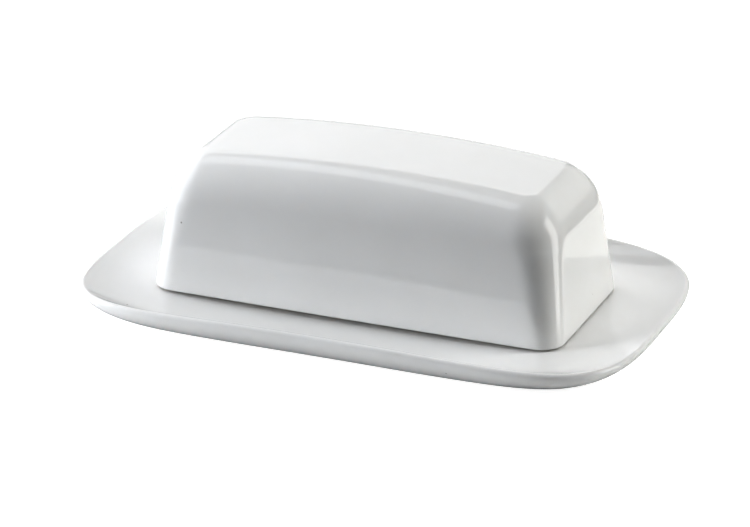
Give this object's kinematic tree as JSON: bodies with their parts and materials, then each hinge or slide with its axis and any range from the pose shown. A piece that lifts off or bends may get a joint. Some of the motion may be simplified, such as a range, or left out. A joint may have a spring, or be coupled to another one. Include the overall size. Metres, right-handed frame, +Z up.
{
  "type": "butter dish",
  "caption": "Shallow rectangular tray with a raised rim and a hollow rectangular lid with rounded edges and a gently arched top, which lifts off.",
  "frame": {"origin": "middle of the underside, in the plane of the table that the foot ring stands on", "axes": "+X along the length of the dish, +Y across its width, +Z up out of the well"},
  "size_m": [0.2, 0.123, 0.0573],
  "materials": {
    "dish_glaze": "glossy white glaze",
    "cover_glaze": "glossy white glaze"
  },
  "bodies": {
    "dish": {"dish": "dish_glaze"},
    "cover": {"cover": "cover_glaze"}
  },
  "joints": [
    {"name": "cover_lift", "type": "slide", "parent": "dish", "child": "cover", "axis": [0, 0, 1], "range_m": [0, 0.12]}
  ]
}
